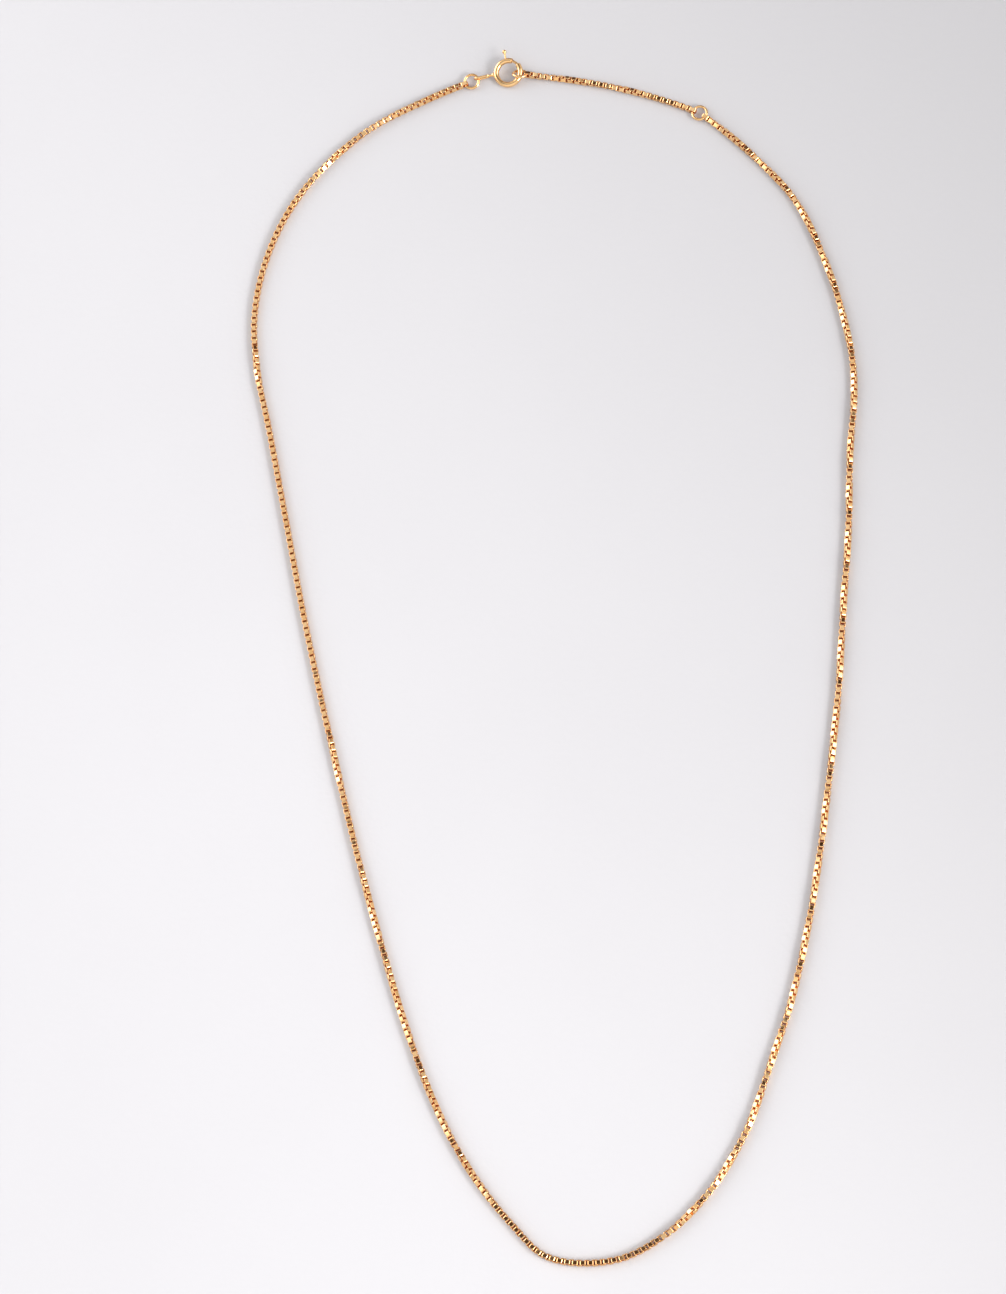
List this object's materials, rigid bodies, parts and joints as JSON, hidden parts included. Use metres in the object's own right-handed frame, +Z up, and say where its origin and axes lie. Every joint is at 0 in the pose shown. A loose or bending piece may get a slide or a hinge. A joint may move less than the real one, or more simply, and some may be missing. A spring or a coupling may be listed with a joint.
{
  "type": "box chain necklace",
  "caption": "Fine box chain necklace of small square interlocking links, closed into a loop by a spring ring clasp that holds the end ring of an extender chain.",
  "frame": {"origin": "on the surface that the necklace lies on, under the middle of its bounding box", "axes": "+Z up from that surface, +Y along the loop's long axis from its free end towards the clasp, +X to the right of it, where the extender joins the main chain"},
  "size_m": [0.1002, 0.2044, 0.0021],
  "materials": {
    "gold": "polished gold plating"
  },
  "bodies": {
    "necklace": {"main_chain": "gold", "extender_chain": "gold", "extension_ring": "gold", "end_ring": "gold", "jump_ring": "gold", "clasp_body": "gold"},
    "bolt": {"clasp_bolt": "gold"}
  },
  "joints": [
    {"name": "bolt_turn", "type": "hinge", "parent": "necklace", "child": "bolt", "pos_m": [-0.00661, 0.09798, 0.00099], "axis": [-0.0358, -0.2079, 0.9775], "range_deg": [0, 41], "stiffness_Nm_per_rad": 0.002, "springref_deg": -17.19}
  ]
}
